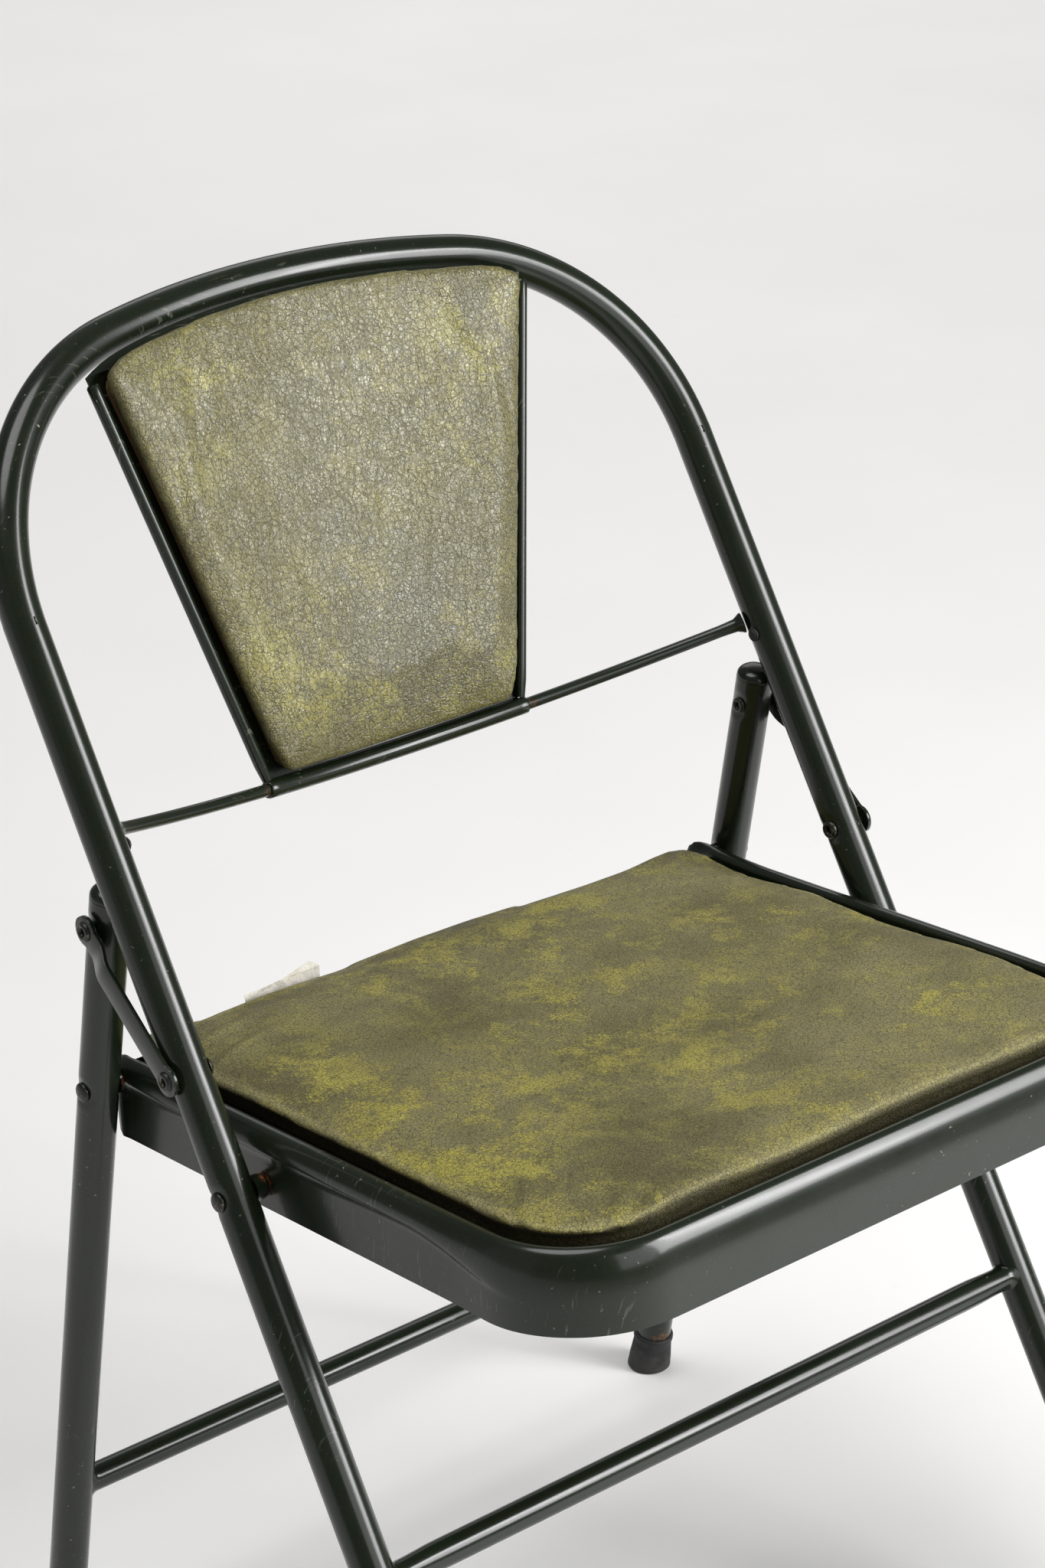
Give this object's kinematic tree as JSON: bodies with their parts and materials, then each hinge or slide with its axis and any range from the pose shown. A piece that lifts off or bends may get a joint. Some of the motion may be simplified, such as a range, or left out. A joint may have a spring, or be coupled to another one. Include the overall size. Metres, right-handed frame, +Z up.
{
  "type": "folding chair",
  "caption": "Steel folding chair with an arched tubular back frame, a padded fan-shaped back, a padded seat in a pressed pan and rear legs that fold up on side links.",
  "frame": {"origin": "on the floor, at the middle of the chair's footprint box", "axes": "+Z up, -Y towards the front of the seat, +X to the right as seen from the front"},
  "size_m": [0.4992, 0.5502, 0.7778],
  "materials": {
    "enamel": "satin",
    "vinyl": "satin",
    "rubber": "matte",
    "hardware": "satin",
    "fibreboard": "matte",
    "paper": "matte"
  },
  "bodies": {
    "frame": {"back_frame_tube": "enamel", "front_stretcher": "enamel", "back_crossbar": "enamel", "back_pan": "enamel", "back_board": "fibreboard", "back_pad": "vinyl", "back_screw_1": "hardware", "back_screw_2": "hardware", "back_screw_3": "hardware", "back_screw_4": "hardware", "seat_pivot_rivet_left": "hardware", "seat_pivot_spacer_left": "hardware", "fold_stop_left": "rubber", "link_lower_rivet_left": "hardware", "front_foot_left": "rubber", "seat_pivot_rivet_right": "hardware", "seat_pivot_spacer_right": "hardware", "fold_stop_right": "rubber", "link_lower_rivet_right": "hardware", "front_foot_right": "rubber"},
    "seat": {"seat_pan": "enamel", "seat_board": "fibreboard", "seat_pad": "vinyl", "seat_tag": "paper", "seat_screw_1": "hardware", "seat_screw_2": "hardware", "seat_screw_3": "hardware", "seat_screw_4": "hardware"},
    "rear_legs": {"rear_stretcher": "enamel", "rear_leg_left": "enamel", "rear_leg_cap_left": "enamel", "rear_foot_left": "rubber", "rear_pivot_rivet_left": "hardware", "rear_pivot_washer_left": "hardware", "link_stud_left": "hardware", "rear_leg_right": "enamel", "rear_leg_cap_right": "enamel", "rear_foot_right": "rubber", "rear_pivot_rivet_right": "hardware", "rear_pivot_washer_right": "hardware", "link_stud_right": "hardware"},
    "link_left": {"link_left": "enamel", "link_upper_rivet_left": "hardware"},
    "link_right": {"link_right": "enamel", "link_upper_rivet_right": "hardware"}
  },
  "joints": [
    {"name": "seat_fold", "type": "hinge", "parent": "frame", "child": "seat", "pos_m": [0, -0.00279, 0.3895], "axis": [-1, 0, 0], "range_deg": [0, 110]},
    {"name": "rear_leg_fold", "type": "hinge", "parent": "seat", "child": "rear_legs", "pos_m": [0, 0.12554, 0.39701], "axis": [-1, 0, 0], "range_deg": [-68, 0]},
    {"name": "link_left_swing", "type": "hinge", "parent": "frame", "child": "link_left", "pos_m": [0, 0.03388, 0.44534], "axis": [-1, 0, 0], "range_deg": [0, 137]},
    {"name": "link_right_swing", "type": "hinge", "parent": "frame", "child": "link_right", "pos_m": [0, 0.03388, 0.44534], "axis": [-1, 0, 0], "range_deg": [0, 137]}
  ],
  "couplings": [
    {"joint": "rear_leg_fold", "follows": "seat_fold", "ratio": -0.61153},
    {"joint": "link_left_swing", "follows": "seat_fold", "ratio": 1.2395},
    {"joint": "link_right_swing", "follows": "seat_fold", "ratio": 1.2395}
  ]
}
